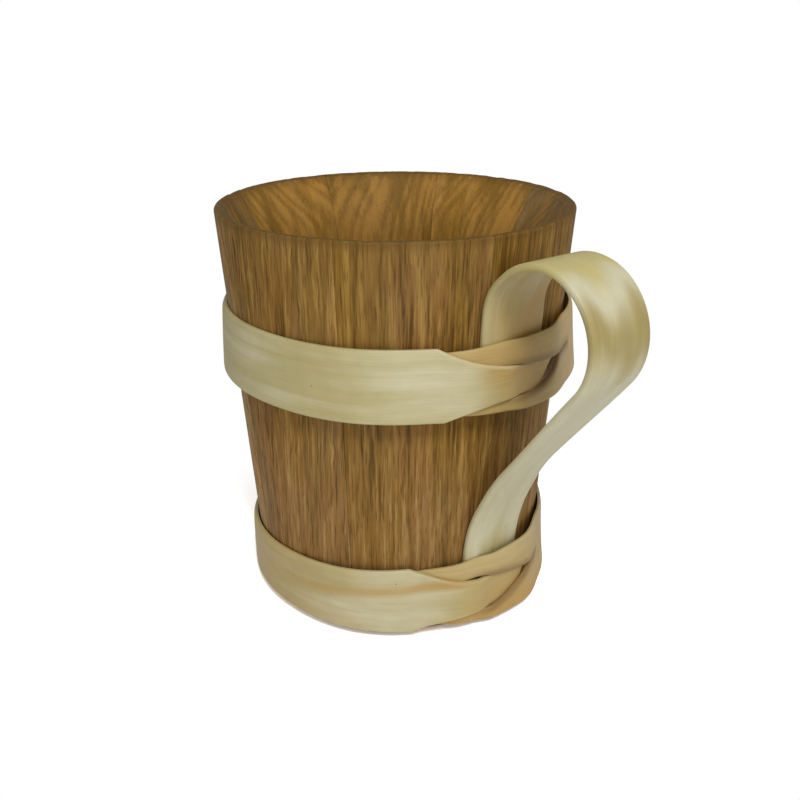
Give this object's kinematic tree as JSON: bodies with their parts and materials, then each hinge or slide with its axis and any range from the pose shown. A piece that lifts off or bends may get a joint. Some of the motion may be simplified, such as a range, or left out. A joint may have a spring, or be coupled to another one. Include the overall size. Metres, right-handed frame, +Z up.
{
  "type": "wooden tankard",
  "caption": "Coopered wooden drinking tankard: tapered oak staves bound by split-wood hoops with tongue-and-slot locks, and a bent strip handle tucked under the hoops.",
  "frame": {"origin": "centre of the bounding box in plan, on the plane the foot stands on", "axes": "+Z up along the axis of the vessel, +X out towards the handle"},
  "size_m": [0.143, 0.1076, 0.122],
  "materials": {
    "oak_stave": "oiled, satin",
    "oak_head": "oiled, satin",
    "hoop_wood": "shaved, satin",
    "handle_wood": "shaved, satin"
  },
  "bodies": {
    "root": {"stave_1": "oak_stave", "stave_2": "oak_stave", "stave_3": "oak_stave", "stave_4": "oak_stave", "stave_5": "oak_stave", "stave_6": "oak_stave", "stave_7": "oak_stave", "stave_8": "oak_stave", "head": "oak_head", "upper_hoop": "hoop_wood", "lower_hoop": "hoop_wood", "handle": "handle_wood"}
  },
  "joints": []
}
